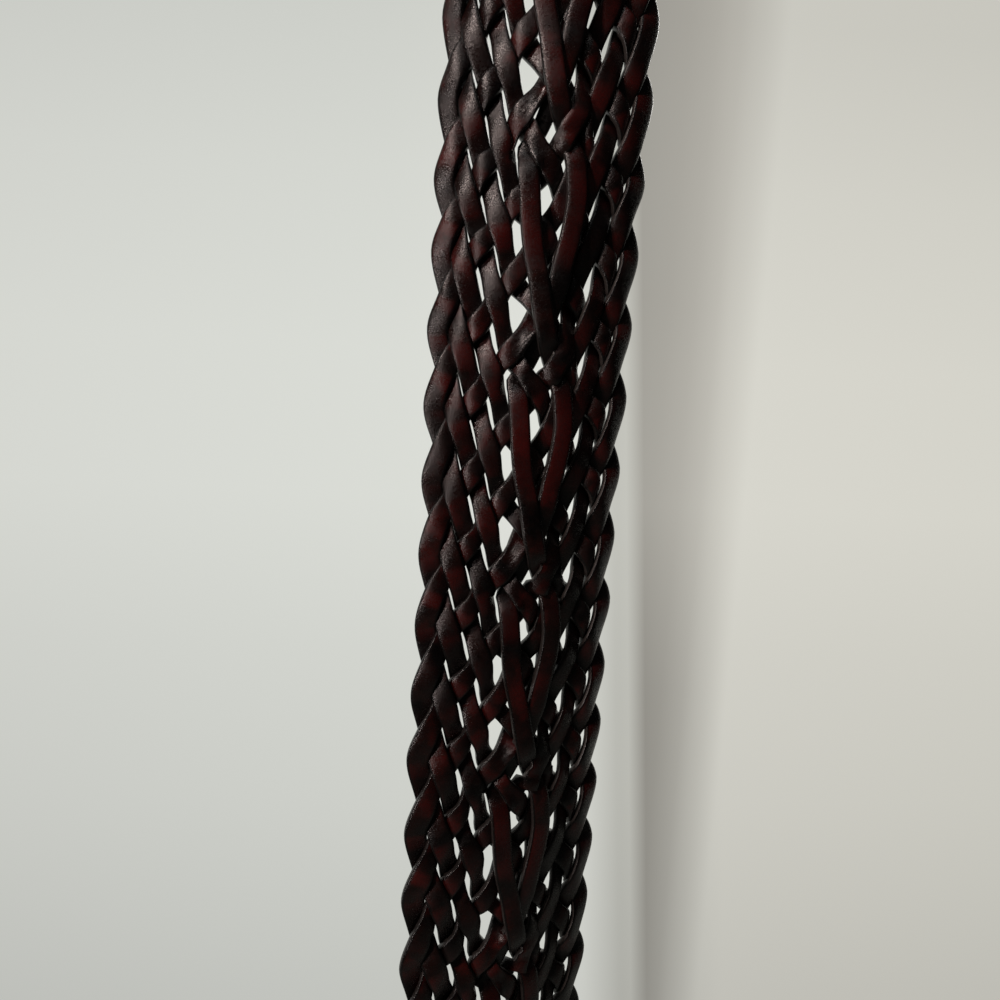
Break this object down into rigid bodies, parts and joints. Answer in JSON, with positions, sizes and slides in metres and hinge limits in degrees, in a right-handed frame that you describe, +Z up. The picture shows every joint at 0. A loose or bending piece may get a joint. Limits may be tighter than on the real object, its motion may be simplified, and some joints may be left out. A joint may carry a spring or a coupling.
{
  "type": "braided belt",
  "caption": "Wide flat braided leather belt hanging from its plain buckle, with scalloped edges, open gaps and two long laces that cross down the middle.",
  "frame": {"origin": "underside of the buckle frame's top bar, on the belt's centre line, where a peg or hook carries it", "axes": "+Z up along the hanging belt, +X across it, -Y out of its grain side"},
  "size_m": [0.065, 0.0324, 1.07],
  "materials": {
    "lace_leather": "satin, very dark oxblood brown, blackened edges",
    "tab_leather": "satin, very dark oxblood brown, stitched",
    "buckle_metal": "brushed, darkened in the recesses"
  },
  "bodies": {
    "root": {"buckle": "buckle_metal", "buckle_tab": "tab_leather", "braid_band": "lace_leather", "centre_lace_1": "lace_leather", "centre_lace_2": "lace_leather", "tip_tab": "tab_leather"}
  },
  "joints": []
}
